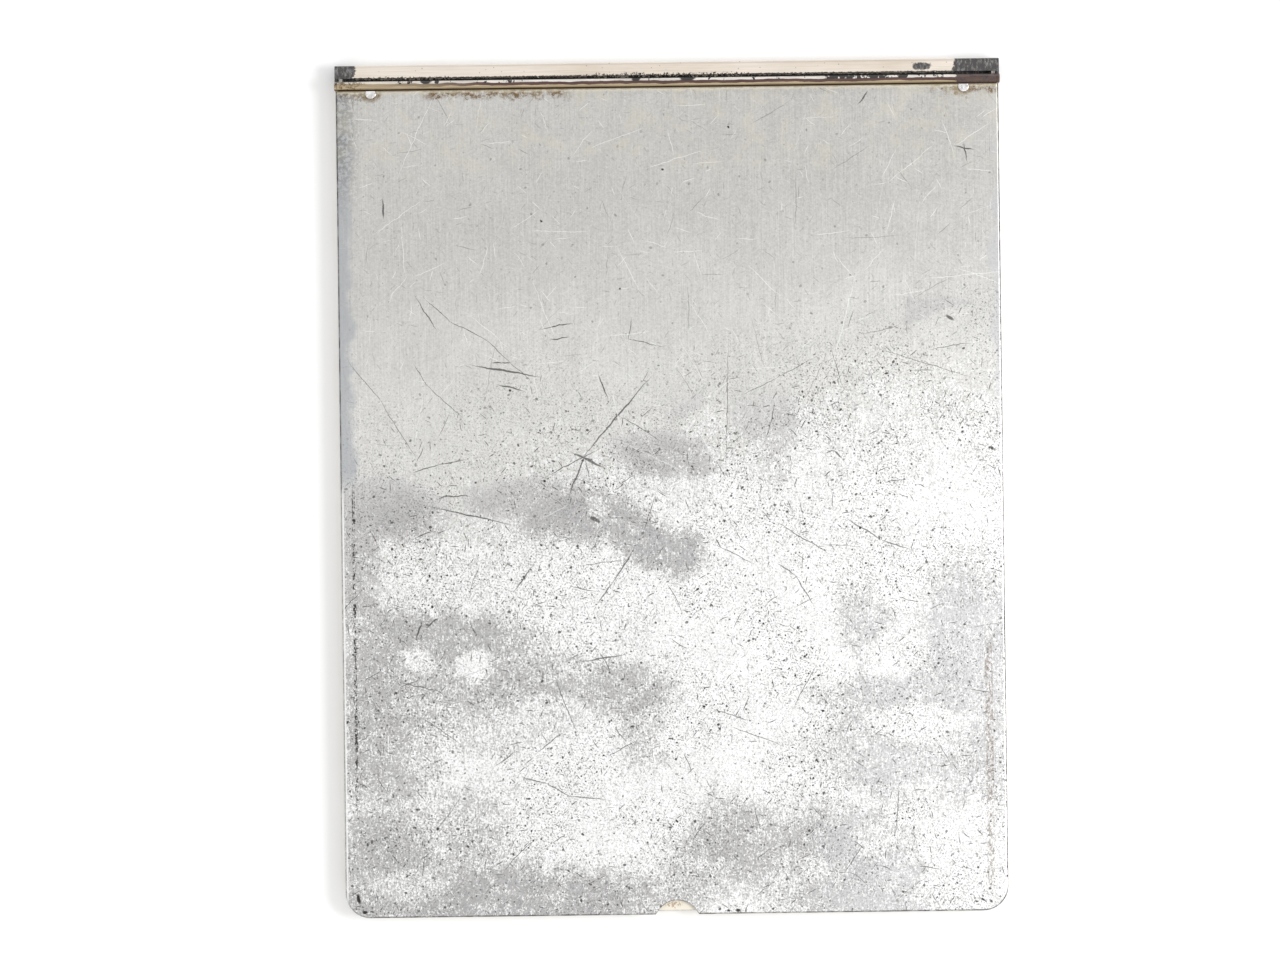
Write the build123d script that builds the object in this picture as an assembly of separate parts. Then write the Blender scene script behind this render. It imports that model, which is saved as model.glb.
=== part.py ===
from build123d import *
import math
import os

# A flat two-leaf metal sheet holder, in millimetres. It lies on its back: +Z is up, +Y points to the
# hinged spine, and the origin is under the middle of the holder, on the surface it lies on.

# Driving dimensions
WIDTH = 240.0
LENGTH = 308.0
TRAY_SHEET = 1.0
COVER_SHEET = 0.8
SPINE_SHEET = 0.8
EAR_SHEET = 0.9
TRAY_HEIGHT = 7.0
COVER_GAP = 0.3
CORNER_RADIUS = 9.0

# Hinge: a rolled barrel turns on a rod that the two ears hold
ROD_RADIUS = 0.75
ROD_CLEARANCE = 0.05
BARREL_RADIUS = ROD_RADIUS + ROD_CLEARANCE + SPINE_SHEET
BARREL_FLANGE = 6.5
BARREL_TIP_ANGLE = 200.0
BARREL_CLEARANCE = 0.3
HINGE_INSET = 7.5
ROD_CHAMFER = 0.15

# Levels and edges that follow from them
FRONT = -LENGTH / 2
BACK = LENGTH / 2
HALF_WIDTH = WIDTH / 2
COVER_UNDERSIDE = TRAY_HEIGHT + COVER_GAP
COVER_TOP = COVER_UNDERSIDE + COVER_SHEET
HINGE_Y = BACK - HINGE_INSET
HINGE_Z = COVER_UNDERSIDE - SPINE_SHEET + BARREL_RADIUS
FLANGE_UNDERSIDE = HINGE_Z - BARREL_RADIUS

# Cover leaf
COVER_SIDE_INSET = 0.3
COVER_HALF_WIDTH = HALF_WIDTH - COVER_SIDE_INSET
COVER_BACK = HINGE_Y - BARREL_RADIUS - BARREL_CLEARANCE
RIM_DEPTH = 2.6
RIM_BACK_GAP = 1.0
RIM_BACK = COVER_BACK - RIM_BACK_GAP
RIM_ROUND = 0.9
NOTCH_RADIUS = 8.1
NOTCH_DEPTH = 5.2
NOTCH_FLARE_DEPTH = 1.4
NOTCH_MOUTH = 15.9

# Tray
TRAY_INSET = 1.3
TRAY_HALF_WIDTH = COVER_HALF_WIDTH - TRAY_INSET
TRAY_FRONT = FRONT + TRAY_INSET
TRAY_LIP = 5.5
TRAY_WALL_END = 2.6
TRAY_WALL_BACK = BACK - TRAY_WALL_END
FLANGE_SWING_ROOM = 2.0
TRAY_STEP_Y = HINGE_Y - BARREL_FLANGE - FLANGE_SWING_ROOM
TRAY_STEP_Z = 5.8
TRAY_ROUND = 0.6

# Spine channel, open towards the hinge
BAND_WIDTH = 4.7
BAND_TOP = COVER_UNDERSIDE
SPINE_FOOT = 6.5
SPINE_BEND = 1.2
SPINE_HALF_LENGTH = HALF_WIDTH - EAR_SHEET
EAR_GAP = 0.15
EAR_LUG_FOOT = 4.0
EAR_TAB_LENGTH = 10.0
EAR_TAB_LOW = 2.4
EAR_TAB_HIGH = 6.0
TRAY_WALL_CLEARANCE = 0.2

# Sheet clip, low enough to work under the closed cover
CLIP_HALF_WIDTH = 58.0
CLIP_SHEET = 0.8
CLIP_FRONT = 129.5
CLIP_BACK = 146.5
PIVOT_Y = 136.0
PIVOT_Z = 3.6
PIVOT_RADIUS = 1.0
PIVOT_CLEARANCE = 0.06
JAW_TOP = 6.2
JAW_TIP_Y = 111.5
JAW_PAD = 3.5
JAW_REST_GAP = 0.3
JAW_END_GAP = 0.4
JAW_FLAT_FRONT = 1.0
JAW_FLAT_BACK = 3.5
JAW_CORNER = 3.0
LUG_HALF_WIDTH = 3.0
LUG_RADIUS = 1.8
KNUCKLE_RADIUS = 1.5
PIN_HEAD_RADIUS = 1.5
PIN_HEAD_LENGTH = 0.6
THUMB_TAB_HALF_WIDTH = 22.0
THUMB_TAB_BACK = 145.5
WIRE_RADIUS = 0.25
COIL_RADIUS = 1.35
COIL_PITCH = 0.55
COIL_TURNS = 5.5
SPRING_X = 30.0
UPPER_LEG_REACH = 4.0
UPPER_LEG_RISE = 0.55
LOWER_LEG_REACH = 5.0

# Rivets: shank radius, head radius, head height
SPINE_RIVET = (1.1, 1.8, 0.8)
CLIP_RIVET = (1.0, 1.7, 0.7)
EAR_RIVET = (0.8, 1.4, 0.6)
COUNTERSINK = 0.7
COUNTERSINK_FLARE = 1.6
SPINE_RIVET_COUNT = 5
SPINE_RIVET_PITCH = 48.0
SPINE_RIVET_INSET = 3.7
CLIP_RIVET_X = 45.0
CLIP_RIVET_ROWS = (131.7, 143.7)
EAR_RIVET_INSET = 7.0
EAR_RIVET_Z = 4.2

# The two rivets beside the barrel: head, shank, and a tail set under the barrel's flange
COVER_RIVET_X = HALF_WIDTH - 13.0
COVER_RIVET_Y = HINGE_Y - 2.8
COVER_RIVET_SHANK = 0.7
COVER_RIVET_HEAD = 2.0
COVER_RIVET_HEAD_HEIGHT = 0.5
COVER_RIVET_HEAD_ROUND = 0.3
COVER_RIVET_TAIL = 1.5
COVER_RIVET_TAIL_HEIGHT = 0.5
COVER_RIVET_FLAT = COVER_BACK - 0.1


def leaf_outline(half_width, front, back, corner):
    """Rectangle whose two front corners are rounded."""
    sheet = Pos(0, (front + back) / 2) * Rectangle(2 * half_width, back - front)
    corners = sheet.vertices().sort_by(Axis.Y)[:2]
    return fillet(corners, corner)


def leaf(half_width, front, back, corner, low, high):
    return Pos(0, 0, low) * extrude(leaf_outline(half_width, front, back, corner), high - low)


def block(x_low, x_high, y_low, y_high, z_low, z_high):
    middle = Pos((x_low + x_high) / 2, (y_low + y_high) / 2, (z_low + z_high) / 2)
    return middle * Box(x_high - x_low, y_high - y_low, z_high - z_low)


def section(y_low, y_high, z_low, z_high):
    """Rectangle in the plane across the hinge, drawn as (Y, Z)."""
    return Pos((y_low + y_high) / 2, (z_low + z_high) / 2) * Rectangle(y_high - y_low, z_high - z_low)


def along_x(sketch, x_low, x_high):
    return extrude(Plane.YZ.offset(x_low) * sketch, x_high - x_low)


def flush_rivet(grip, shank, head, head_height):
    """Rivet along +Z from a countersunk foot at zero, through the grip, to a rounded head."""
    foot = Pos(0, 0, COUNTERSINK / 2) * Cone(COUNTERSINK_FLARE * shank, shank, COUNTERSINK)
    stem = Pos(0, 0, COUNTERSINK) * extrude(Circle(shank), grip - COUNTERSINK)
    cap = Pos(0, 0, grip) * extrude(Circle(head), head_height)
    cap = fillet(cap.faces().sort_by(Axis.Z)[-1].edges(), 0.6 * head_height)
    return foot + stem + cap


def spine_rivets():
    first = -(SPINE_RIVET_COUNT - 1) / 2 * SPINE_RIVET_PITCH
    y = BACK - SPINE_RIVET_INSET
    rivet = flush_rivet(TRAY_SHEET + SPINE_SHEET, *SPINE_RIVET)
    return [Pos(first + i * SPINE_RIVET_PITCH, y) * rivet for i in range(SPINE_RIVET_COUNT)]


def clip_rivets():
    rivet = flush_rivet(TRAY_SHEET + CLIP_SHEET, *CLIP_RIVET)
    return [Pos(side * CLIP_RIVET_X, y) * rivet for y in CLIP_RIVET_ROWS for side in (-1, 1)]


def ear_rivet(side):
    """Flush at the back of the spine, with its head on the ear's tab inside."""
    rivet = flush_rivet(2 * SPINE_SHEET, *EAR_RIVET)
    x = side * (HALF_WIDTH - EAR_RIVET_INSET)
    return Pos(x, BACK, EAR_RIVET_Z) * Rot(90, 0, 0) * rivet


def cover_rivet(side):
    """Head cut flat beside the barrel, tail set under the barrel's flange."""
    low = FLANGE_UNDERSIDE - COVER_RIVET_TAIL_HEIGHT
    stem = Pos(0, 0, low) * extrude(Circle(COVER_RIVET_SHANK), COVER_TOP - low)
    foot = Pos(0, 0, low) * extrude(Circle(COVER_RIVET_TAIL), COVER_RIVET_TAIL_HEIGHT)
    head = Pos(0, 0, COVER_TOP) * extrude(Circle(COVER_RIVET_HEAD), COVER_RIVET_HEAD_HEIGHT)
    head = fillet(head.faces().sort_by(Axis.Z)[-1].edges(), COVER_RIVET_HEAD_ROUND)
    rivet = Pos(side * COVER_RIVET_X, COVER_RIVET_Y) * (stem + foot + head)
    barrel_top = HINGE_Z + BARREL_RADIUS
    return rivet - block(-HALF_WIDTH, HALF_WIDTH, COVER_RIVET_FLAT, BACK, COVER_TOP, barrel_top)


def thumb_notch():
    """Flared mouth running into a round arc, cut through the cover's front edge."""
    arc_y = FRONT + NOTCH_FLARE_DEPTH
    rise = NOTCH_DEPTH - NOTCH_FLARE_DEPTH
    half_chord = math.sqrt(NOTCH_RADIUS**2 - (NOTCH_RADIUS - rise) ** 2)
    arc = ThreePointArc((-half_chord, arc_y), (0, FRONT + NOTCH_DEPTH), (half_chord, arc_y))
    mouth = Polyline(
        (half_chord, arc_y),
        (NOTCH_MOUTH / 2, FRONT),
        (NOTCH_MOUTH / 2, FRONT - 1),
        (-NOTCH_MOUTH / 2, FRONT - 1),
        (-NOTCH_MOUTH / 2, FRONT),
        (-half_chord, arc_y),
    )
    return extrude(make_face(arc + mouth), COVER_TOP + 1)


def cover_plate():
    low = COVER_TOP - RIM_DEPTH
    sheet = leaf(COVER_HALF_WIDTH, FRONT, COVER_BACK, CORNER_RADIUS, low, COVER_TOP)
    top_edges = sheet.faces().sort_by(Axis.Z)[-1].edges()
    sheet = fillet(top_edges.filter_by(lambda e: e.center().Y < COVER_BACK - 0.1), RIM_ROUND)
    sheet -= leaf(
        COVER_HALF_WIDTH - COVER_SHEET,
        FRONT + COVER_SHEET,
        BACK,
        CORNER_RADIUS - COVER_SHEET,
        low,
        COVER_UNDERSIDE,
    )
    sheet -= block(-WIDTH, WIDTH, RIM_BACK, BACK, 0, COVER_UNDERSIDE)
    sheet -= thumb_notch()
    for side in (-1, 1):
        sheet -= cover_rivet(side)
    return sheet


def hinge_barrel():
    """One rolled strip: a flange under the cover, then a curl round the rod."""
    ring = Circle(BARREL_RADIUS) - Circle(BARREL_RADIUS - SPINE_SHEET)
    reach = 2 * BARREL_RADIUS
    tip = math.radians(BARREL_TIP_ANGLE)
    open_sector = make_face(
        Polyline(
            (0, 0),
            (reach * math.cos(tip), reach * math.sin(tip)),
            (-reach, -reach),
            (0, -reach),
            (0, 0),
        )
    )
    curl = Pos(HINGE_Y, HINGE_Z) * (ring - open_sector)
    flange = section(HINGE_Y - BARREL_FLANGE, HINGE_Y, FLANGE_UNDERSIDE, COVER_UNDERSIDE)
    half_length = SPINE_HALF_LENGTH - EAR_GAP
    strip = along_x(curl + flange, -half_length, half_length)
    for side in (-1, 1):
        flange_end = TRAY_HALF_WIDTH - TRAY_LIP
        x_low, x_high = sorted((side * flange_end, side * WIDTH))
        strip -= block(x_low, x_high, 0, COVER_RIVET_FLAT, FLANGE_UNDERSIDE, COVER_UNDERSIDE)
        strip -= cover_rivet(side)
    return strip


def hinge_rod():
    rod = along_x(Pos(HINGE_Y, HINGE_Z) * Circle(ROD_RADIUS), -HALF_WIDTH, HALF_WIDTH)
    ends = rod.faces().sort_by(Axis.X)
    return chamfer(ends[0].edges() + ends[-1].edges(), ROD_CHAMFER)


def spine_outline():
    """Outside of the spine's section, with its two back bends rounded."""
    outer = section(BACK - SPINE_FOOT, BACK, TRAY_SHEET, BAND_TOP)
    bends = outer.vertices().sort_by(Axis.X)[-2:]
    return fillet(bends, SPINE_BEND)


def spine_channel():
    hollow = section(0, BACK - SPINE_SHEET, TRAY_SHEET + SPINE_SHEET, BAND_TOP - SPINE_SHEET)
    hollow = fillet(hollow.vertices().sort_by(Axis.X)[-2:], SPINE_BEND - SPINE_SHEET)
    above_foot = section(0, BACK - BAND_WIDTH, TRAY_SHEET + SPINE_SHEET, BAND_TOP + 1)
    channel = along_x(spine_outline() - hollow - above_foot, -SPINE_HALF_LENGTH, SPINE_HALF_LENGTH)
    for side in (-1, 1):
        tray_inside = TRAY_HALF_WIDTH - TRAY_SHEET - TRAY_WALL_CLEARANCE
        x_low, x_high = sorted((side * tray_inside, side * HALF_WIDTH))
        channel -= block(x_low, x_high, 0, BACK - SPINE_BEND, 0, TRAY_SHEET + SPINE_SHEET)
        channel -= ear_rivet(side)
    for rivet in spine_rivets():
        channel -= rivet
    return channel


def hinge_ear(side):
    """End plate with a boss for the rod, and a tab folded in along the spine's back wall."""
    boss = Pos(HINGE_Y, HINGE_Z) * Circle(BARREL_RADIUS)
    lug = section(HINGE_Y - BARREL_RADIUS, HINGE_Y + BARREL_RADIUS, EAR_LUG_FOOT, HINGE_Z)
    hole = Pos(HINGE_Y, HINGE_Z) * Circle(ROD_RADIUS)
    x_low, x_high = sorted((side * SPINE_HALF_LENGTH, side * HALF_WIDTH))
    plate = along_x(spine_outline() + boss + lug - hole, x_low, x_high)
    inner_face = BACK - SPINE_SHEET
    tab_end = SPINE_HALF_LENGTH - EAR_TAB_LENGTH
    tab_low, tab_high = sorted((side * SPINE_HALF_LENGTH, side * tab_end))
    tab = block(tab_low, tab_high, inner_face - SPINE_SHEET, inner_face, EAR_TAB_LOW, EAR_TAB_HIGH)
    return plate + tab - ear_rivet(side)


def back_tray():
    outer = leaf(TRAY_HALF_WIDTH, TRAY_FRONT, BACK, CORNER_RADIUS - TRAY_INSET, 0, TRAY_HEIGHT)
    rims = outer.faces().sort_by(Axis.Z)
    edges = (rims[0].edges() + rims[-1].edges()).filter_by(lambda e: e.center().Y < BACK - 1)
    tray = fillet(edges, TRAY_ROUND)
    tray -= leaf(
        TRAY_HALF_WIDTH - TRAY_SHEET,
        TRAY_FRONT + TRAY_SHEET,
        BACK + 1,
        CORNER_RADIUS - TRAY_INSET - TRAY_SHEET,
        TRAY_SHEET,
        TRAY_HEIGHT - TRAY_SHEET,
    )
    tray -= leaf(
        TRAY_HALF_WIDTH - TRAY_LIP,
        TRAY_FRONT + TRAY_LIP,
        BACK + 1,
        CORNER_RADIUS - TRAY_INSET - TRAY_LIP,
        TRAY_HEIGHT - TRAY_SHEET,
        TRAY_HEIGHT,
    )
    tray -= block(-WIDTH, WIDTH, TRAY_STEP_Y, BACK + 1, TRAY_STEP_Z, TRAY_HEIGHT)
    tray -= block(-WIDTH, WIDTH, TRAY_WALL_BACK, BACK + 1, TRAY_SHEET, TRAY_HEIGHT)
    for rivet in spine_rivets() + clip_rivets():
        tray -= rivet
    return tray


def clip_base():
    """Plate on the tray floor with a lug at each end for the pivot pin."""
    top = TRAY_SHEET + CLIP_SHEET
    base = block(-CLIP_HALF_WIDTH, CLIP_HALF_WIDTH, CLIP_FRONT, CLIP_BACK, TRAY_SHEET, top)
    lug = section(PIVOT_Y - LUG_HALF_WIDTH, PIVOT_Y + LUG_HALF_WIDTH, TRAY_SHEET, PIVOT_Z)
    lug += Pos(PIVOT_Y, PIVOT_Z) * Circle(LUG_RADIUS)
    lug -= Pos(PIVOT_Y, PIVOT_Z) * Circle(PIVOT_RADIUS)
    base += along_x(lug, -CLIP_HALF_WIDTH, CLIP_SHEET - CLIP_HALF_WIDTH)
    base += along_x(lug, CLIP_HALF_WIDTH - CLIP_SHEET, CLIP_HALF_WIDTH)
    for rivet in clip_rivets():
        base -= rivet
    return base


def clip_pin():
    spot = Pos(PIVOT_Y, PIVOT_Z)
    end = CLIP_HALF_WIDTH + PIN_HEAD_LENGTH
    pin = along_x(spot * Circle(PIVOT_RADIUS), -end, end)
    pin += along_x(spot * Circle(PIN_HEAD_RADIUS), CLIP_HALF_WIDTH, end)
    pin += along_x(spot * Circle(PIN_HEAD_RADIUS), -end, -CLIP_HALF_WIDTH)
    return pin


def clip_jaw():
    """Flat over the pivot, sloping down to a narrow pad that rests just off the tray floor."""
    half_width = CLIP_HALF_WIDTH - CLIP_SHEET - JAW_END_GAP
    bend_y = PIVOT_Y - JAW_FLAT_FRONT
    plate_back = PIVOT_Y + JAW_FLAT_BACK
    pad_back = JAW_TIP_Y + JAW_PAD
    pad_low = TRAY_SHEET + JAW_REST_GAP
    pad_high = pad_low + CLIP_SHEET
    under = JAW_TOP - CLIP_SHEET
    profile = make_face(
        Polyline(
            (plate_back, JAW_TOP),
            (bend_y, JAW_TOP),
            (pad_back, pad_high),
            (JAW_TIP_Y, pad_high),
            (JAW_TIP_Y, pad_low),
            (pad_back, pad_low),
            (bend_y, under),
            (plate_back, under),
            (plate_back, JAW_TOP),
        )
    )
    jaw = along_x(profile, -half_width, half_width)
    tips = jaw.edges().filter_by(Axis.Z).group_by(Axis.Y)[0]
    jaw = fillet(tips, JAW_CORNER)
    tab_width = 2 * THUMB_TAB_HALF_WIDTH
    tab = Pos(0, (plate_back + THUMB_TAB_BACK) / 2) * Rectangle(tab_width, THUMB_TAB_BACK - plate_back)
    tab = fillet(tab.vertices().sort_by(Axis.Y)[-2:], JAW_CORNER)
    jaw += Pos(0, 0, under) * extrude(tab, CLIP_SHEET)
    overlap = 0.1
    knuckle = section(PIVOT_Y - KNUCKLE_RADIUS, PIVOT_Y + KNUCKLE_RADIUS, PIVOT_Z, under + overlap)
    knuckle += Pos(PIVOT_Y, PIVOT_Z) * Circle(KNUCKLE_RADIUS)
    knuckle -= Pos(PIVOT_Y, PIVOT_Z) * Circle(PIVOT_RADIUS + PIVOT_CLEARANCE)
    knuckle -= section(PIVOT_Y - 2 * KNUCKLE_RADIUS, bend_y, under - 2 * overlap, JAW_TOP)
    jaw += along_x(knuckle, -half_width, CLIP_SHEET - half_width)
    jaw += along_x(knuckle, half_width - CLIP_SHEET, half_width)
    return jaw


def leg(start, end):
    """Straight wire leg, with a small ball where it leaves the coil."""
    run = Vector(*end) - Vector(*start)
    straight = Plane(origin=start, z_dir=run) * extrude(Circle(0.9 * WIRE_RADIUS), run.length)
    return straight + Pos(*start) * Sphere(1.1 * WIRE_RADIUS)


def clip_spring(side):
    """Coil round the pivot pin, one leg on the base and one under the jaw's thumb tab."""
    length = COIL_PITCH * COIL_TURNS
    path = Helix(COIL_PITCH, length, COIL_RADIUS)
    ring = Plane(origin=path @ 0, z_dir=path % 0) * Circle(WIRE_RADIUS)
    coil = sweep(ring, path=path)
    x_start = side * SPRING_X - length / 2
    place = Plane(origin=(x_start, PIVOT_Y, PIVOT_Z), x_dir=(0, 0, 1), z_dir=(1, 0, 0))
    coil = place.location * coil
    top = (x_start, PIVOT_Y, PIVOT_Z + COIL_RADIUS)
    bottom = (x_start + length, PIVOT_Y, PIVOT_Z - COIL_RADIUS)
    on_base = TRAY_SHEET + CLIP_SHEET + WIRE_RADIUS
    upper_leg = leg(top, (x_start, PIVOT_Y + UPPER_LEG_REACH, PIVOT_Z + UPPER_LEG_RISE))
    lower_leg = leg(bottom, (x_start + length, PIVOT_Y + LOWER_LEG_REACH, on_base))
    return coil + upper_leg + lower_leg


def parts():
    made = {
        "cover_plate": cover_plate(),
        "hinge_barrel": hinge_barrel(),
        "hinge_rod": hinge_rod(),
        "spine_channel": spine_channel(),
        "back_tray": back_tray(),
        "clip_base": clip_base(),
        "clip_pin": clip_pin(),
        "clip_jaw": clip_jaw(),
    }
    for name, side in (("left", -1), ("right", 1)):
        made[f"cover_rivet_{name}"] = cover_rivet(side)
        made[f"hinge_ear_{name}"] = hinge_ear(side)
        made[f"ear_rivet_{name}"] = ear_rivet(side)
        made[f"clip_spring_{name}"] = clip_spring(side)
    for number, rivet in enumerate(spine_rivets(), 1):
        made[f"spine_rivet_{number}"] = rivet
    for number, rivet in enumerate(clip_rivets(), 1):
        made[f"clip_rivet_{number}"] = rivet
    return made


os.makedirs("parts", exist_ok=True)
for node, solid in parts().items():
    export_step(solid, f"parts/{node}.step")
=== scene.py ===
"""Looks of the hinged metal sheet holder: worn metals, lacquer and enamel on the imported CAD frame."""

import math

import bpy
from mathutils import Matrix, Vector


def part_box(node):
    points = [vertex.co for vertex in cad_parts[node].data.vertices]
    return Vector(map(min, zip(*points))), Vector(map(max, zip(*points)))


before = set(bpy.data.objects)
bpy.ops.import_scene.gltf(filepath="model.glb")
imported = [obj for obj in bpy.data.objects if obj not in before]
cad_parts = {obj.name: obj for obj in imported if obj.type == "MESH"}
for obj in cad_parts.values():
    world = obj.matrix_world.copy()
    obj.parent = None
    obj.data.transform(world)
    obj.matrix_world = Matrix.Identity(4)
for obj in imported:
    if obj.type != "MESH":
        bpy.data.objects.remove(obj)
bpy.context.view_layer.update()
MM = 0.001  # metres in a millimetre

# ---- places read from the frame, in millimetres ----


def box_mm(node):
    """(lowest corner, highest corner) of a CAD node, in millimetres."""
    low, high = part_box(node)
    return low / MM, high / MM


COVER_LOW, COVER_HIGH = box_mm("cover_plate")
BEAD_HIGH = box_mm("hinge_barrel")[1]
RIVET_LOW, RIVET_HIGH = box_mm("cover_rivet_right")
HALF_WIDTH = COVER_HIGH.x
FRONT = COVER_LOW.y
STRIP = COVER_HIGH.y  # the hinged edge, where the cover's face meets the bead
BEAD_RADIUS = BEAD_HIGH.z - COVER_HIGH.z  # the rolled bead stands its radius above the cover
HINGE_Y = BEAD_HIGH.y - BEAD_RADIUS
GROOVE_WIDTH = 1.2  # between the bead and the flat band of the spine
BAND_Y = BEAD_HIGH.y + GROOVE_WIDTH
NOTCH_RADIUS = 8.1
NOTCH_Y = FRONT - 2.9  # middle of the thumb notch's arc


# ---- a small kit for joining shader nodes ----

ROW_SHIFT = 0.382  # of a cell, from one row of scratches to the next, to hide their grid
ROW_STRIDE = 57.31  # keeps the random numbers of neighbouring rows apart
SCRAMBLE = 19.7  # makes a second random number from the first
SEED_STEP = (7.3, 3.1, 5.7)  # how far each seed moves through the noise


class Graph:
    """Adds nodes to one material and joins them. Every value handed in is a number or a socket."""

    def __init__(self, name):
        self.material = bpy.data.materials.new(name)
        self.material.use_nodes = True
        self.tree = self.material.node_tree
        self.tree.nodes.clear()
        self.shader = self.add("ShaderNodeBsdfPrincipled")
        out = self.add("ShaderNodeOutputMaterial")
        self.tree.links.new(self.shader.outputs["BSDF"], out.inputs["Surface"])
        coords = self.add("ShaderNodeTexCoord")
        scaled = self.add("ShaderNodeVectorMath", operation="SCALE")
        self.feed(scaled.inputs[0], coords.outputs["Object"])
        scaled.inputs["Scale"].default_value = 1.0 / MM
        self.place = scaled.outputs[0]  # object position in millimetres
        split = self.add("ShaderNodeSeparateXYZ")
        self.feed(split.inputs[0], self.place)
        self.x, self.y, self.z = split.outputs
        facing = self.add("ShaderNodeSeparateXYZ")
        self.feed(facing.inputs[0], coords.outputs["Normal"])
        self.up = facing.outputs["Z"]

    def add(self, kind, **settings):
        """A new node with those settings."""
        node = self.tree.nodes.new(kind)
        for key, value in settings.items():
            setattr(node, key, value)
        return node

    def feed(self, socket, value):
        """Links a socket to an input, or sets the input to a constant."""
        if isinstance(value, bpy.types.NodeSocket):
            self.tree.links.new(value, socket)
        elif value is not None:
            socket.default_value = value

    def math(self, operation, a, b=None):
        node = self.add("ShaderNodeMath", operation=operation)
        self.feed(node.inputs[0], a)
        self.feed(node.inputs[1], b)
        return node.outputs[0]

    def times_plus(self, a, b, c):
        """a * b + c in one node."""
        node = self.add("ShaderNodeMath", operation="MULTIPLY_ADD")
        for socket, value in zip(node.inputs, (a, b, c)):
            self.feed(socket, value)
        return node.outputs[0]

    def plus(self, a, b):
        return self.math("ADD", a, b)

    def minus(self, a, b):
        return self.math("SUBTRACT", a, b)

    def times(self, a, b):
        return self.math("MULTIPLY", a, b)

    def most(self, *values):
        """The greatest of several masks."""
        total = values[0]
        for value in values[1:]:
            total = self.math("MAXIMUM", total, value)
        return total

    def invert(self, a):
        return self.minus(1.0, a)

    def rise(self, value, start, end, low=0.0, high=1.0):
        """Goes smoothly from low at start to high at end, and is flat outside them."""
        node = self.add("ShaderNodeMapRange", interpolation_type="SMOOTHSTEP")
        self.feed(node.inputs["Value"], value)
        self.feed(node.inputs["From Min"], start)
        self.feed(node.inputs["From Max"], end)
        node.inputs["To Min"].default_value = low
        node.inputs["To Max"].default_value = high
        return node.outputs["Result"]

    def within(self, value, low, high, soft):
        """1 where value is between low and high, fading over soft."""
        return self.times(self.rise(value, low - soft, low), self.rise(value, high + soft, high))

    def noise(self, size, detail=3.0, rough=0.55, seed=0.0, stretch=(1.0, 1.0, 1.0)):
        """A noise node about 0.5, with lumps of that size in millimetres."""
        shift = self.add("ShaderNodeMapping")
        self.feed(shift.inputs["Vector"], self.place)
        shift.inputs["Location"].default_value = [seed * step for step in SEED_STEP]
        shift.inputs["Scale"].default_value = [1.0 / (size * s) for s in stretch]
        node = self.add("ShaderNodeTexNoise")
        self.feed(node.inputs["Vector"], shift.outputs[0])
        node.inputs["Scale"].default_value = 1.0
        node.inputs["Detail"].default_value = detail
        node.inputs["Roughness"].default_value = rough
        return node

    def lumps(self, size, **settings):
        """Noise as one number."""
        return self.noise(size, **settings).outputs["Fac"]

    def warped(self, size, reach, seed=0.0, detail=3.0, rough=0.55):
        """x and y moved about by noise, so that an outline laid on them is uneven."""
        channels = self.add("ShaderNodeSeparateColor")
        source = self.noise(size, detail=detail, rough=rough, seed=seed)
        self.feed(channels.inputs[0], source.outputs["Color"])
        moved_x = self.plus(self.x, self.times(self.minus(channels.outputs[0], 0.5), reach))
        moved_y = self.plus(self.y, self.times(self.minus(channels.outputs[1], 0.5), reach))
        return moved_x, moved_y

    def blend_of(self, at, across, up, constant):
        """across * x + up * y + constant."""
        part = self.times_plus(at[1], up, constant)
        return self.times_plus(at[0], across, part)

    def spot(self, centre, radii, turn=0.0, soft=0.5, at=None):
        """An ellipse seen from above: 1 inside, fading out over the share soft of its radii."""
        at = at or (self.x, self.y)
        c = math.cos(math.radians(turn))
        s = math.sin(math.radians(turn))
        along = self.blend_of(at, c / radii[0], s / radii[0], -(centre[0] * c + centre[1] * s) / radii[0])
        aside = self.blend_of(at, -s / radii[1], c / radii[1], (centre[0] * s - centre[1] * c) / radii[1])
        far = self.times_plus(along, along, self.times(aside, aside))
        return self.rise(far, (1.0 + soft) ** 2, (1.0 - soft) ** 2)

    def stroke(self, start, end, width, at=None):
        """A scratch between two points, widest in the middle."""
        run = (end[0] - start[0], end[1] - start[1])
        middle = ((start[0] + end[0]) / 2, (start[1] + end[1]) / 2)
        radii = (math.hypot(*run) / 2, width / 2)
        return self.spot(middle, radii, math.degrees(math.atan2(run[1], run[0])), 0.45, at)

    def triangle(self, points, soft, at=None):
        """1 inside a triangle whose corners go round clockwise, fading over soft at its sides."""
        at = at or (self.x, self.y)
        inside = 1.0
        for (x0, y0), (x1, y1) in zip(points, points[1:] + points[:1]):
            run = math.hypot(x1 - x0, y1 - y0)
            across = (y1 - y0) / run
            up = (x0 - x1) / run
            past = self.blend_of(at, across, up, -(across * x0 + up * y0))
            inside = self.times(inside, self.rise(past, 0.0, soft))
        return inside

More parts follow.
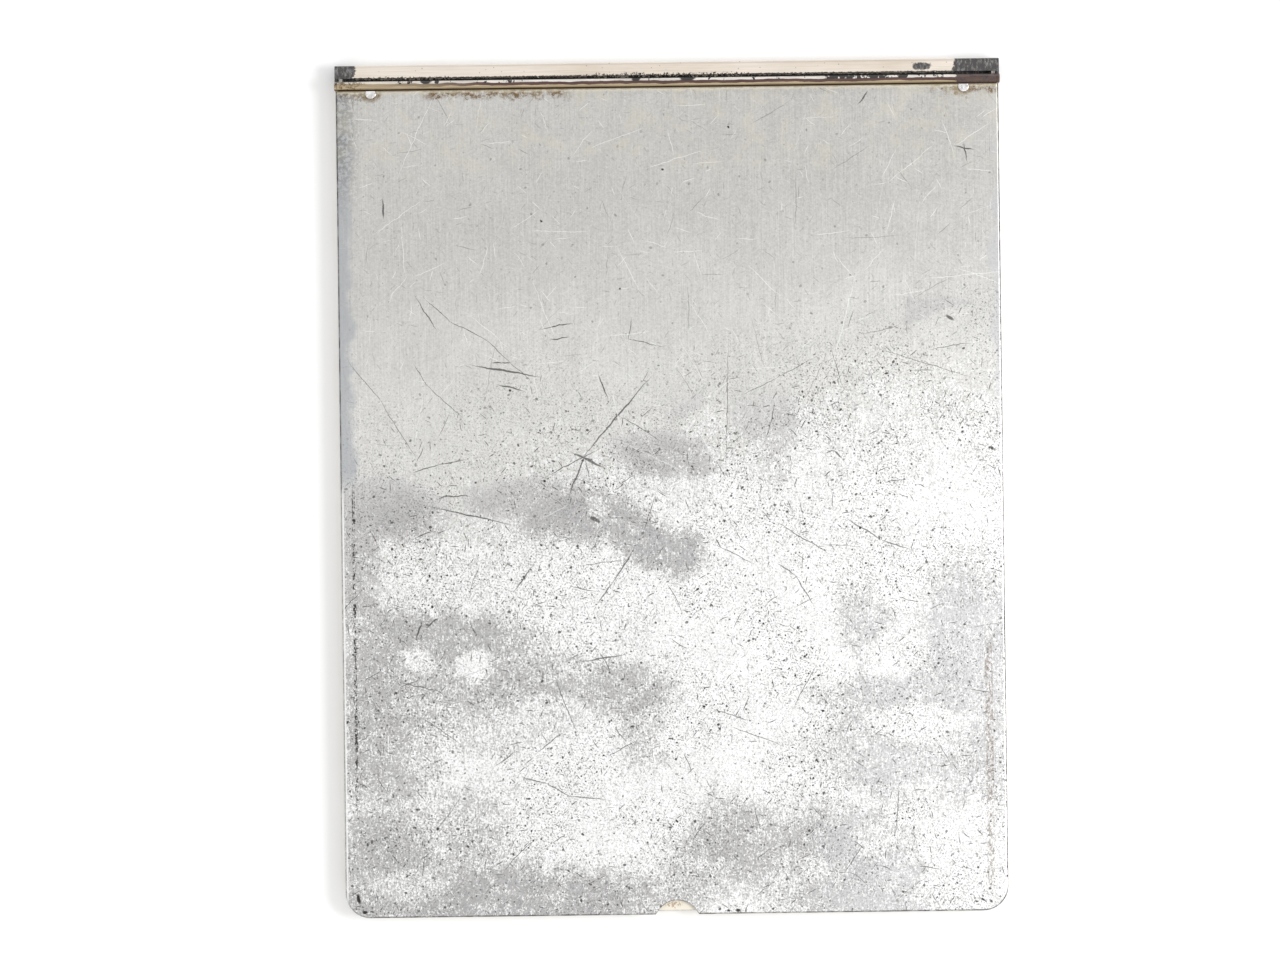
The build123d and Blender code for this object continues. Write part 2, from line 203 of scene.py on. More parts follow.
    def strokes(self, cell, length, width, share, seed, bend=0.0, at=None):
        """Scattered scratches in any direction, at most one in each cell of a turned grid. share is how
        many cells have one."""
        at = at or (self.x, self.y)
        turn_cos = math.cos(seed) / cell
        turn_sin = math.sin(seed) / cell
        grid_y = self.blend_of(at, -turn_sin, turn_cos, seed * 9.1)
        row = self.math("FLOOR", grid_y)
        grid_x = self.blend_of(at, turn_cos, turn_sin, seed * 13.7)
        grid_x = self.times_plus(row, ROW_SHIFT, grid_x)
        column = self.math("FLOOR", grid_x)
        dice = self.add("ShaderNodeTexWhiteNoise", noise_dimensions="1D")
        self.feed(dice.inputs["W"], self.times_plus(row, ROW_STRIDE, column))
        chance = self.add("ShaderNodeSeparateColor")
        self.feed(chance.inputs[0], dice.outputs["Color"])
        direction, luck, size = chance.outputs
        away_x = self.minus(self.minus(grid_x, column), self.off_centre(direction))
        away_y = self.minus(self.minus(grid_y, row), self.off_centre(size))

        # From the scratch's middle: along it in half lengths, and across it in half widths.
        angle = self.times(direction, 2.0 * math.pi)
        cosine = self.math("COSINE", angle)
        sine = self.math("SINE", angle)
        longest = length / cell / 2
        half_length = self.rise(size, 0.0, 1.0, 0.45 * longest, longest)
        along = self.plus(self.times(away_x, cosine), self.times(away_y, sine))
        along = self.math("DIVIDE", along, half_length)
        across = self.minus(self.times(away_y, cosine), self.times(away_x, sine))
        across = self.times(across, 2.0 * cell / width)
        if bend:
            across = self.plus(across, self.times(self.times(along, along), bend))
        far = self.times_plus(along, along, self.times(across, across))
        strength = self.math("MINIMUM", self.rise(luck, share, 0.0, 0.0, 1.6), 1.0)
        return self.times(self.rise(far, 1.35, 0.65), strength)

    def off_centre(self, chance):
        """A second random number from the first, near the middle of a cell."""
        return self.times_plus(self.math("FRACT", self.times(chance, SCRAMBLE)), 0.3, 0.35)

    def threads(self, size, width, seed, gaps=0.5):
        """A net of thin wandering lines, broken up by gaps."""
        line = self.math("ABSOLUTE", self.minus(self.lumps(size, detail=2, rough=0.6, seed=seed), 0.5))
        broken = self.rise(self.lumps(size * 0.7, detail=2, seed=seed + 0.5), gaps - 0.04, gaps + 0.04)
        return self.times(self.rise(line, width, 0.0), broken)

    def tint(self, factor, a, b, blend="MIX"):
        """Colour a where factor is 0 and b where it is 1."""
        node = self.add("ShaderNodeMix", data_type="RGBA", blend_type=blend)
        self.feed(node.inputs[0], factor)
        self.feed(node.inputs[6], (*a, 1.0) if isinstance(a, tuple) else a)
        self.feed(node.inputs[7], (*b, 1.0) if isinstance(b, tuple) else b)
        return node.outputs[2]

    def grey(self, value):
        """A neutral colour from one number."""
        node = self.add("ShaderNodeCombineColor")
        for socket in node.inputs:
            self.feed(socket, value)
        return node.outputs[0]

    def bump(self, height, depth, distance=0.05):
        """Relief from a mask: depth is its strength and distance its height in millimetres."""
        node = self.add("ShaderNodeBump")
        node.inputs["Strength"].default_value = depth
        node.inputs["Distance"].default_value = distance * MM
        self.feed(node.inputs["Height"], height)
        self.feed(self.shader.inputs["Normal"], node.outputs[0])

    def finish(self, colour, rough, metallic=1.0):
        """Joins the last colour, roughness and metalness to the shader."""
        self.feed(self.shader.inputs["Base Color"], colour)
        self.feed(self.shader.inputs["Roughness"], rough)
        self.feed(self.shader.inputs["Metallic"], metallic)
        return self.material


# ---- the cover: brushed sheet, hazed above, with a painted reflection and bright wear below ----

# The grey below is partly painted darker reflection; the white is painted reflection of the light, mixed
# with metal rubbed bright.
HAZE = (0.53, 0.522, 0.503)  # grey of the cover where it is hazed
HAZE_LOW = (0.72, 0.715, 0.695)  # the haze thins out towards the middle
REFLECTION_AND_WEAR_WHITE = (0.97, 0.97, 0.965)  # where it is rubbed bright
SMUDGE = (0.475, 0.469, 0.468)  # cold grey patches left in the bright part
SMUDGE_PALE = (0.66, 0.654, 0.656)  # the same towards the right side
MARK = (0.045, 0.042, 0.04)  # dirt held in pits and scratches
GRIME = (0.17, 0.105, 0.048)  # brown dirt along the hinge strip

# Patches of haze left in the painted reflection of the lower half: centre, radii, turn in degrees, strength.
SMUDGES = (
    ((-58, -3), (14, 6), 5, 0.75),
    ((-42, -8), (13, 8), 20, 0.9),
    ((-28, -10), (16, 8), -8, 1.0),
    ((-10, -19), (16, 7), -24, 1.0),
    ((4, -24), (7, 8), -20, 1.0),
    ((-3, 12), (16, 7), -12, 0.85),
    ((7, 35), (12, 5), 45, 0.7),
    ((34, 27), (11, 9), -20, 0.6),
    ((38, 12), (6, 12), 0, 0.4),
    ((-106, -6), (19, 10), -5, 0.95),
    ((-113, -30), (7, 30), 0, 0.7),
    ((-82, -52), (30, 10), -8, 0.9),
    ((-108, -66), (14, 16), 0, 0.85),
    ((-76, -70), (24, 9), -10, 0.8),
    ((-48, -67), (22, 8), -6, 0.85),
    ((-19, -72), (18, 10), -10, 0.85),
    ((-17, -50), (10, 6), 0, 0.6),
    ((-12, -90), (8, 13), 10, 0.6),
    ((-50, -82), (18, 8), 0, 0.45),
    ((-104, -93), (18, 22), 0, 0.85),
    ((-72, -88), (20, 8), -6, 0.5),
    ((-102, -136), (21, 20), 0, 0.9),
    ((-62, -147), (62, 11), 0, 1.0),
    ((-78, -124), (26, 14), 10, 0.65),
    ((70, -54), (9, 17), 15, 0.75),
    ((106, -56), (16, 24), 0, 0.95),
    ((88, -75), (34, 7), 0, 0.9),
    ((110, -96), (11, 24), 0, 0.75),
    ((86, -104), (34, 11), -14, 0.8),
    ((66, -90), (10, 14), 0, 0.7),
    ((24, -130), (25, 15), -10, 0.9),
    ((62, -138), (32, 19), -18, 0.95),
    ((86, -150), (22, 6), 0, 0.8),
    ((8, -140), (18, 10), 15, 0.7),
)

# Small places inside the smudges, made white by painted reflection and rubbed wear.
REFLECTION_AND_WEAR_SPOTS = (
    ((-92, -61), (4.5, 4.5), 0, 0.8),
    ((-72, -63), (6, 5.5), -30, 1.0),
    ((-99, -36), (7, 7), 0, 0.7),
    ((-84, -36), (22, 8), 0, 0.7),
    ((80, -61), (9, 8), 10, 1.0),
    ((61, -63), (5, 5), 0, 0.8),
    ((87, -86), (15, 6), 0, 1.0),
    ((-87, -97), (11, 8), 20, 0.4),
    ((-88, -117), (10, 9), 0, 0.25),
    ((-27, -7), (4, 4), 0, 0.6),
    ((-40, -117), (22, 13), 0, 0.6),
    ((-7, -114), (14, 12), -20, 0.7),
    ((-98, -142), (14, 5), 0, 0.5),
    ((44, -138), (9, 6), 0, 0.4),
    ((72, -128), (7, 6), 0, 0.4),
    ((90, -112), (10, 5), 0, 0.4),
    ((103, -130), (15, 15), 30, 1.0),
    ((108, -145), (20, 9), 0, 0.9),
    ((-26, -44), (22, 11), -10, 0.6),
    ((-55, -30), (24, 10), -8, 0.6),
)


# Heavy scratches: width, then the points that each passes through, from the middle of the cover.
SCRATCHES = (
    (0.5, (-9, 38), (-31, 13), (-37, -2)),
    (0.35, (-45, 5), (-27, 14)),
    (0.8, (-35, 13), (-25, 8)),
    (0.2, (-88, 69), (-79, 61), (-66, 54), (-58, 46), (-51, 40)),
    (0.6, (-70, 45), (-49, 41)),
    (0.5, (-64, 46), (-58, 46)),
    (0.5, (-62, 38), (-54, 36)),
    (0.35, (-46, 58), (-36, 60)),
    (0.4, (-43, 54), (-37, 55)),
    (0.25, (-14, 61), (-15, 54), (-3, 51)),
    (0.45, (-26, 41), (-23, 33)),
    (0.2, (-92, 45), (-88, 38), (-76, 27)),
    (0.2, (-116, 47), (-105, 33), (-93, 13)),
    (0.35, (-93, 7), (-84, 9.5), (-75, 11)),
    (0.45, (-86, -6), (-60, -12)),
    (0.4, (-84, -2), (-74, -2)),
    (1.2, (-30, -10), (-26, -12)),
    (0.45, (-51, -28), (-57, -36)),
    (0.45, (-14, -22), (-22, -34), (-27, -41)),
    (0.3, (-37, -35), (-28, -37)),
    (0.45, (-32, -62), (-19, -60)),
    (0.6, (-93, -53), (-91, -48)),
    (0.6, (-89, -49), (-85, -46)),
    (0.35, (-99, -69), (-86, -72)),
    (0.35, (-50, -95), (-41, -88)),
    (0.4, (-55, -104), (-47, -106), (-38, -111), (-26, -112)),
    (0.35, (38, -13), (56, -24)),
    (0.4, (63, -12), (76, -20), (85, -23)),
    (0.4, (38, -28), (44, -32), (50, -42)),
    (0.5, (55.5, 12), (58.7, 12.8), (61.5, 10)),
    (0.2, (58, 50), (62, 36)),
    (0.2, (76, 49), (107, 39)),
    (0.2, (51, 46), (38, 39), (27, 34)),
    (0.2, (21, 49), (19.5, 9)),
    (0.3, (14, -80), (26, -84)),
    (0.5, (104, 122), (110, 121)),
    (0.4, (107, 123), (108, 117)),
    (0.5, (69, 138), (72, 142)),
    (0.6, (-103, 105), (-103, 99)),
    (0.3, (-91, 69), (-85, 59)),
    (1.0, (99.8, 61), (102.5, 59.4)),
)

# Black dirt and rust spots: width, then the points that each passes through.
BLACK_MARKS = (
    (1.3, (-115.2, -145.4), (-114.6, -148.6)),
    (0.8, (-113.6, -151.7), (-111.8, -151.9)),
    (0.5, (-110.9, -151.6), (-109.4, -151.7)),
    (0.8, (18.0, -152.7), (19.2, -152.8)),
    (0.9, (21.0, -152.5), (22.6, -152.9)),
    (0.6, (109.8, -149.5), (111.4, -150.6)),
    (0.9, (-46.4, 3.0), (-45.6, 3.2)),
    (0.8, (-58.4, 36.0), (-57.6, 35.8)),
    (0.7, (-2.3, 115.2), (-1.7, 114.8)),
    (0.8, (21.6, 130.3), (22.4, 129.8)),
    (0.7, (-46.2, 97.2), (-45.8, 96.6)),
    (0.7, (-18.3, 72.0), (-17.6, 72.2)),
)

GREY_CORNER = [(85, 56), (83, 70), (116, 68)]  # a cold patch in the hazed half

SCRATCH_PALE = (0.93, 0.93, 0.92)
SPOT_BLACK = (0.02, 0.016, 0.012)
COLD_EDGE = (0.39, 0.41, 0.435)  # dull band down the upper left side
FAINT_EDGE = (0.5, 0.51, 0.54)  # the same on the right
FLECK = (0.2, 0.195, 0.19)
YELLOWED = (0.66, 0.62, 0.48)
PALE_FRINGE = (0.72, 0.67, 0.52)
CREASE_SHADE_AND_DIRT = (0.15, 0.10, 0.055)
RESIDUE_BLACK = (0.03, 0.025, 0.02)
RESIDUE_BROWN = (0.2, 0.14, 0.09)
EDGE_HIGHLIGHT = (0.95, 0.95, 0.93)
EDGE_SHADE = (0.06, 0.055, 0.05)
LIP_DARK = (0.08, 0.07, 0.06)
INSIDE_DULL = (0.5, 0.5, 0.49)
INSIDE_RUBBED = (0.7, 0.695, 0.68)
RIVET_RING = (3.3, 2.7)  # radii of the dirt round a cover rivet
LEFT_RESIDUE = (-115.5, -114.7)  # from and to in x
RIGHT_RESIDUE = (112.4, 114.6)


def cover_metal():
    """Brushed aluminium sheet with haze, a painted reflection with bright wear in its lower half, scratches,
    pits, old dirt, and painted shade along its edges and at the bead's foot.

    Its nodes nearly fill the room that Cycles has for one material. With a few more masks in use at once,
    the whole cover renders black.
    """
    g = Graph("cover_aluminium")
    outer = g.rise(g.up, 0.2, 0.7)
    depth, bright, thinning = painted_reflection_half(g)
    ragged = g.warped(14, 14, seed=5, detail=9, rough=0.68)
    smudge = patches(g, SMUDGES, 0.6, ragged)
    reflection_and_wear_spots = patches(g, REFLECTION_AND_WEAR_SPOTS, 0.4, ragged)
    smudge = g.times(smudge, g.invert(reflection_and_wear_spots))
    smudge = g.times(smudge, g.rise(g.lumps(9, detail=4, rough=0.7, seed=7), 0.25, 0.5, 0.6, 1.0))
    grain = g.lumps(0.75, detail=3, rough=0.85, seed=1)
    # This mask is painted reflection of the light over the lower half, with wear specks in it.
    rubbed = reflection_and_wear_mask(g, depth, bright, smudge, reflection_and_wear_spots, grain)
    base = haze_colour(g, depth, thinning, smudge, ragged)
    base = g.tint(rubbed, base, REFLECTION_AND_WEAR_WHITE)

    # Fine upright brushing and slow mottling.
    brush = g.lumps(0.5, detail=2, rough=0.8, seed=4, stretch=(1.0, 45.0, 1.0))
    mottle = g.lumps(16, detail=5, rough=0.6, seed=6)
    base = g.tint(1.0, base, brushed_tone(g, depth, brush, mottle, grain), "MULTIPLY")

    wavy = g.warped(4.0, 1.4, seed=9)
    marks = dark_marks(g, depth, smudge, wavy)
    base = g.tint(marks, base, MARK)
    base = g.tint(pale_hairlines(g, depth, smudge, wavy), base, SCRATCH_PALE)
    black = named_scratches(g, BLACK_MARKS, g.warped(1.5, 1.2, seed=23))
    base = g.tint(g.times(black, 0.95), base, SPOT_BLACK)

    base = edge_dirt_and_shade(g, base, ragged)
    base = g.tint(g.invert(outer), base, inside_metal(g))
    base = edge_lines(g, base)

    rough = g.rise(rubbed, 0.0, 1.0, 0.42, 0.34)
    rough = g.plus(rough, g.times(marks, 0.25))
    rough = g.plus(rough, g.times(g.minus(mottle, 0.5), 0.12))
    g.bump(brush, 0.15)
    return g.finish(base, rough)


def painted_reflection_half(g):
    """How far a point is past the slanting, uneven line where the painted reflection begins, how strong the
    painted reflection is there, and how thin the haze is."""
    slant = g.plus(g.times(g.x, 0.22), 12.0)
    wander = g.times(g.minus(g.lumps(60, detail=4, seed=2), 0.5), 60.0)
    depth = g.plus(g.minus(slant, g.y), wander)
    bright = g.rise(depth, -42.0, 62.0)
    bright = g.times(bright, g.rise(g.x, -105.0, -30.0, 0.82, 1.0))
    return depth, bright, g.rise(depth, -110.0, 20.0)


def patches(g, spots, soft, at):
    """The strongest of several ragged ellipses."""
    total = 0.0
    for centre, radii, turn, strength in spots:
        total = g.most(total, g.times(g.spot(centre, radii, turn, soft, at), strength))
    return total


def reflection_and_wear_mask(g, depth, bright, smudge, reflection_and_wear_spots, grain):
    """Painted reflection of the light over the lower half, with wear to bright metal. It shows as bright and
    dull specks, so each edge is a scatter and not a line.
    """
    fibre = g.lumps(0.5, detail=2, rough=0.7, seed=3, stretch=(1.0, 5.0, 1.0))
    cloud = g.lumps(7, detail=5, rough=0.75, seed=10)
    speck = g.plus(g.minus(grain, 0.5), g.times(g.minus(fibre, 0.5), 0.5))
    reflection_and_wear = g.times(g.most(g.times(bright, 0.92), reflection_and_wear_spots), g.invert(g.times(smudge, 0.78)))
    contrast = g.times(g.rise(depth, -40.0, 40.0, 0.3, 3.2), g.rise(smudge, 0.2, 1.0, 1.0, 0.85))
    reflection_and_wear = g.plus(reflection_and_wear, g.times(speck, contrast))
    reflection_and_wear = g.plus(reflection_and_wear, g.times(g.minus(cloud, 0.5), g.rise(depth, -60, 20, 0.2, 1.3)))
    return g.rise(reflection_and_wear, 0.3, 0.74)


def haze_colour(g, depth, thinning, smudge, ragged):
    """The haze, partly painted darker reflection, thinner towards the painted reflection, with grey patches
    in it.
    """
    base = g.tint(thinning, HAZE, HAZE_LOW)
    base = g.tint(g.times(smudge, g.rise(depth, -30, 10)), base, SMUDGE)
    base = g.tint(g.times(smudge, g.rise(g.x, 35.0, 75.0)), base, SMUDGE_PALE)
    corner = g.triangle(GREY_CORNER, 2.0, ragged)
    return g.tint(g.times(corner, 0.4), base, SMUDGE)


def brushed_tone(g, depth, brush, mottle, grain):
    """Brightness of the brushing, mottling and grain. The hazed half is a little darker to the right."""
    hazed = g.rise(depth, 20, -60)
    tone = g.plus(g.times(g.minus(brush, 0.5), 0.45), g.times(g.minus(mottle, 0.5), 0.14))
    tone = g.plus(tone, g.times(g.minus(grain, 0.5), 0.8))
    tone = g.plus(tone, g.times(g.times(g.x, -0.0006), hazed))
    return g.grey(g.plus(tone, 1.0))


def dark_marks(g, depth, smudge, wavy):
    """Pits and scratches that hold dirt, dense in the bright half and sparse above."""
    low = g.times(g.rise(depth, -70.0, 20.0), g.invert(g.times(smudge, 0.25)))
    crowd = g.rise(g.lumps(24, detail=3, seed=8), 0.36, 0.62, 0.5, 1.0)
    fine = g.most(
        g.strokes(1.05, 1.0, 0.3, 0.9, 1, at=wavy),
        g.strokes(1.45, 1.7, 0.25, 0.9, 2, at=wavy),
        g.threads(1.3, 0.028, 3),
    )
    middle = g.most(
        g.strokes(4.3, 3.4, 0.28, 0.5, 3, at=wavy),
        g.strokes(2.9, 0.75, 0.5, 0.5, 4, at=wavy),
    )
    pits = g.most(
        g.strokes(2.9, 0.8, 0.6, 0.75, 19, at=wavy),
        g.strokes(6.5, 1.3, 0.85, 0.7, 20, at=wavy),
    )
    large = g.most(
        g.strokes(9.5, 1.2, 0.85, 0.5, 5, at=wavy),
        g.strokes(13, 7.5, 0.26, 0.6, 6, bend=0.8, at=wavy),
        g.strokes(27, 20, 0.26, 0.6, 7, bend=2.5, at=wavy),
    )
    marks = g.times(fine, g.times(g.times(low, crowd), 0.7))
    marks = g.most(marks, g.times(middle, g.rise(low, 0.0, 1.0, 0.25, 0.9)))
    marks = g.most(marks, g.times(large, g.rise(low, 0.0, 1.0, 0.4, 0.9)))
    marks = g.most(marks, g.times(named_scratches(g, SCRATCHES, wavy), 0.8))
    return g.most(marks, g.times(pits, g.times(g.rise(low, 0.0, 1.0, 0.1, 1.0), crowd)))


def pale_hairlines(g, depth, smudge, wavy):
    """Bright scratches, seen in the hazed half and inside the grey patches."""
    pale = g.most(
        g.strokes(44, 42, 0.22, 0.9, 15, bend=1.0, at=wavy),
        g.strokes(26, 24, 0.2, 0.9, 11, bend=2.0, at=wavy),
        g.strokes(17, 13, 0.2, 0.85, 12, bend=-1.5, at=wavy),
        g.strokes(8, 5.5, 0.2, 0.5, 13, at=wavy),
        g.times(g.strokes(3.4, 2.8, 0.2, 0.8, 14, at=wavy), g.rise(smudge, 0.0, 0.6, 0.3, 1.0)),
    )
    return g.times(pale, g.most(g.rise(depth, 20, -30, 0.15, 0.6), g.times(smudge, 0.65)))


def named_scratches(g, scratches, at):
    """Scratches that stand out one by one."""
    total = 0.0
    for width, *points in scratches:
        for start, end in zip(points, points[1:]):
            total = g.most(total, g.stroke(start, end, width, at))
    return total


def edge_dirt_and_shade(g, base, ragged):
    """Darker bands and black residue along the sheet's sides, dirt under the hinge strip, and painted shade
    at the bead's foot.
    """
    ragged_x = ragged[0]
    cold = g.times(g.rise(ragged_x, -HALF_WIDTH + 6.5, -HALF_WIDTH + 2.5), g.rise(g.y, -2, 8))
    base = g.tint(g.times(cold, 0.7), base, COLD_EDGE)
    right = g.times(g.rise(ragged_x, HALF_WIDTH - 4, HALF_WIDTH - 1), g.rise(g.y, 10, 40))
    base = g.tint(g.times(right, 0.4), base, FAINT_EDGE)
    base = strip_dirt_and_shade(g, base, g.minus(STRIP, g.y))

    # Dotted lines of black residue down both sides of the lower half.
    dots = g.rise(g.lumps(0.9, detail=3, rough=0.7, seed=18, stretch=(0.7, 1.4, 1.0)), 0.5, 0.55)
    left = g.times(g.within(g.x, *LEFT_RESIDUE, 0.3), g.within(g.y, -112, -4, 8))
    right = g.times(g.within(g.x, *RIGHT_RESIDUE, 0.5), g.within(g.y, -141, -60, 10))
    base = g.tint(g.times(g.times(left, dots), 0.95), base, RESIDUE_BLACK)
    return g.tint(g.times(g.times(right, dots), 0.6), base, RESIDUE_BROWN)


def strip_dirt_and_shade(g, base, away):
    """What has gathered against the hinge strip, away millimetres from it, and painted shade in the crease
    at the bead's foot.
    """

    # Brown crumbs, heaviest at the left, and rings round the two rivets.
    strong = g.most(
        g.within(g.x, -84, -40, 8),
        g.rise(g.x, -98, -116),
        g.within(g.x, 98, 118, 5),
        0.12,
    )
    reach = g.plus(g.times(g.lumps(4, detail=6, rough=0.75, seed=14), 12.0), -3.2)
    film = g.rise(away, g.plus(reach, 1.0), g.plus(reach, -1.5))
    crumbs = g.rise(g.lumps(1.3, detail=5, rough=0.75, seed=15), 0.45, 0.52)
    base = g.tint(g.times(g.times(film, strong), g.rise(crumbs, 0, 1, 0.2, 0.95)), base, GRIME)
    loose = g.warped(2.0, 1.8, seed=16)
    for side in (-1, 1):
        centre = (side * (RIVET_LOW.x + RIVET_HIGH.x) / 2, (RIVET_LOW.y + RIVET_HIGH.y) / 2)
        ring = g.spot(centre, RIVET_RING, 0, 0.35, loose)
        base = g.tint(g.times(ring, g.rise(crumbs, 0, 1, 0.6, 1.0)), base, GRIME)

    # Dark flecks in the upper left corner, and yellowing below the strip.
    flecked = g.times(g.rise(g.x, -HALF_WIDTH + 11, -HALF_WIDTH + 1), g.rise(g.y, 92, 125))
    base = g.tint(g.times(g.times(flecked, crumbs), 0.7), base, FLECK)
    haze = g.within(g.y, 122, STRIP, 14)
    yellow = g.times(haze, g.rise(g.lumps(9, detail=6, rough=0.65, seed=17), 0.46, 0.66))
    base = g.tint(g.times(yellow, 0.28), base, YELLOWED)

    # A pale yellowish fringe, then a dark line at the bead's foot: painted contact shade with brown dirt.
    uneven = g.lumps(1.6, detail=4, rough=0.7, seed=24, stretch=(2.0, 1.0, 1.0))
    fringe = g.rise(away, g.rise(uneven, 0.3, 0.7, 0.7, 2.4), 0.5)
    base = g.tint(g.times(fringe, 0.55), base, PALE_FRINGE)
    crease = g.rise(away, g.rise(uneven, 0.3, 0.7, 0.3, 0.9), 0.1)
    return g.tint(g.times(crease, 0.65), base, CREASE_SHADE_AND_DIRT)


def edge_lines(g, base):
    """The rolled edge: a painted shade line round it where it turns down, and a painted highlight on a
    burnished line inside the lower left side.
    """
    uneven = g.rise(g.lumps(5, detail=5, rough=0.7, seed=25), 0.35, 0.6, 0.35, 0.9)
    lower_left = g.times(g.rise(g.x, -105, -112), g.rise(g.y, 5, -5))
    rolled = g.times(g.rise(g.up, 0.97, 0.86), g.rise(g.up, 0.15, 0.35))
    # Painted shade on the edge's turned-down faces, and a painted highlight inside the lower left side.
    dark = g.times(g.times(rolled, uneven), g.rise(lower_left, 0.0, 1.0, 1.0, 0.55))
    bright = g.times(g.within(g.x, -HALF_WIDTH + 0.5, -HALF_WIDTH + 1.0, 0.25), lower_left)
    base = g.tint(g.times(bright, 0.8), base, EDGE_HIGHLIGHT)
    base = g.tint(dark, base, EDGE_SHADE)

    # The cut edge of the thumb notch.
    down = g.minus(g.y, NOTCH_Y)
    far = g.math("SQRT", g.times_plus(g.x, g.x, g.times(down, down)))
    lip = g.times(g.within(far, NOTCH_RADIUS, NOTCH_RADIUS + 0.25, 0.15), g.rise(g.z, 7.5, 8.0))
    return g.tint(g.times(lip, g.times(uneven, 0.8)), base, LIP_DARK)


def inside_metal(g):
    """The face that the sheets see: plain grey metal with faint rubbing."""
    cloud = g.lumps(30, detail=5, seed=21)
    streak = g.lumps(0.7, detail=2, seed=22, stretch=(1.0, 40.0, 1.0))
    tone = g.plus(g.times(cloud, 0.2), g.times(streak, 0.12))
    return g.tint(g.rise(tone, 0.05, 0.27), INSIDE_DULL, INSIDE_RUBBED)


# ---- the spine: nickel silver under worn black lacquer ----

BARE_LOW = (0.70, 0.61, 0.51)  # the bare metal's two tones
BARE_HIGH = (0.82, 0.745, 0.655)
BEAD_HIGHLIGHT = (0.90, 0.865, 0.81)
BEAD_TAN = (0.55, 0.445, 0.29)
LACQUER = (0.028, 0.025, 0.025)
WORN_LACQUER = (0.045, 0.042, 0.042)
TARNISH_AND_DARK_REFLECTION = (0.13, 0.078, 0.072)
CREASE_SHADE_AND_GRIME = (0.13, 0.083, 0.043)
RED_BROWN = (0.075, 0.038, 0.032)
METAL_SPECK = (0.3, 0.22, 0.15)
LACQUER_RUBBED = (0.27, 0.26, 0.25)
TONGUES = ((-11.1, 1.5), (7.5, 2.8), (-87.0, 2.0), (-83.0, 0.9))  # lacquer on the bead: x, half width
LEFT_PATCH = -112.8  # where the end patches stop, in x
RIGHT_PATCH = 103.6
ISLAND = (92.0, BAND_Y + 2.0)


def lacquered_metal():
    """Warm pale metal with black lacquer left in the groove, at the ends and in chips."""
    g = Graph("lacquered_nickel")
    cloud = g.lumps(18, detail=5, seed=31, stretch=(2.5, 1.0, 1.0))
    metal = g.tint(g.rise(cloud, 0.3, 0.7), BARE_LOW, BARE_HIGH)
    wipe = g.lumps(0.5, detail=3, seed=32, stretch=(30.0, 1.0, 1.0))
    metal = g.tint(1.0, metal, g.grey(g.rise(wipe, 0.3, 0.7, 0.93, 1.05)), "MULTIPLY")
    specks = g.strokes(2.6, 0.6, 0.4, 0.35, 33)
    metal = g.tint(g.times(specks, 0.6), metal, METAL_SPECK)

    past = g.minus(g.y, HINGE_Y)
    on_bead = g.rise(past, BEAD_RADIUS + 0.1, BEAD_RADIUS - 0.1)
    blotch = g.rise(g.lumps(1.1, detail=5, rough=0.7, seed=40), 0.5, 0.58)
    metal = g.tint(on_bead, metal, bead_colour(g, past, blotch))

    chips = g.lumps(1.0, detail=4, rough=0.75, seed=34)
    black = g.most(groove_lacquer(g, chips), bead_lacquer(g, past))

    # Patches at both ends and one island on the band.
    jag = g.times(g.minus(g.lumps(2.2, detail=5, rough=0.7, seed=35), 0.5), 7.0)
    jagged_x = g.plus(g.x, jag)
    left_end = g.rise(jagged_x, LEFT_PATCH + 0.2, LEFT_PATCH - 0.2)
    left_end = g.times(left_end, g.rise(g.y, BAND_Y - 0.3, BAND_Y))
    right_end = g.rise(jagged_x, RIGHT_PATCH - 0.2, RIGHT_PATCH + 0.2)
    island = g.spot(ISLAND, (3.3, 1.4), 0, 0.15, g.warped(1.5, 2.2, seed=36))
    worn = g.most(left_end, g.times(right_end, g.invert(on_bead)), island)
    brown = g.times(right_end, on_bead)

    base = g.tint(black, metal, LACQUER)
    rubbed = g.rise(g.lumps(1.5, detail=6, rough=0.8, seed=42, stretch=(0.6, 1.4, 1.0)), 0.48, 0.64)
    base = g.tint(worn, base, g.tint(g.times(rubbed, 0.8), WORN_LACQUER, LACQUER_RUBBED))
    base = g.tint(g.times(brown, 0.95), base, g.tint(blotch, RED_BROWN, LACQUER))
    cover = g.math("MINIMUM", g.most(black, worn, brown), 1.0)
    rough = g.rise(cover, 0.0, 1.0, 0.33, 0.4)
    rough = g.plus(rough, g.times(g.minus(cloud, 0.5), 0.15))
    g.bump(g.plus(cover, g.times(chips, 0.3)), 0.6, 0.08)
    return g.finish(base, rough, g.invert(cover))


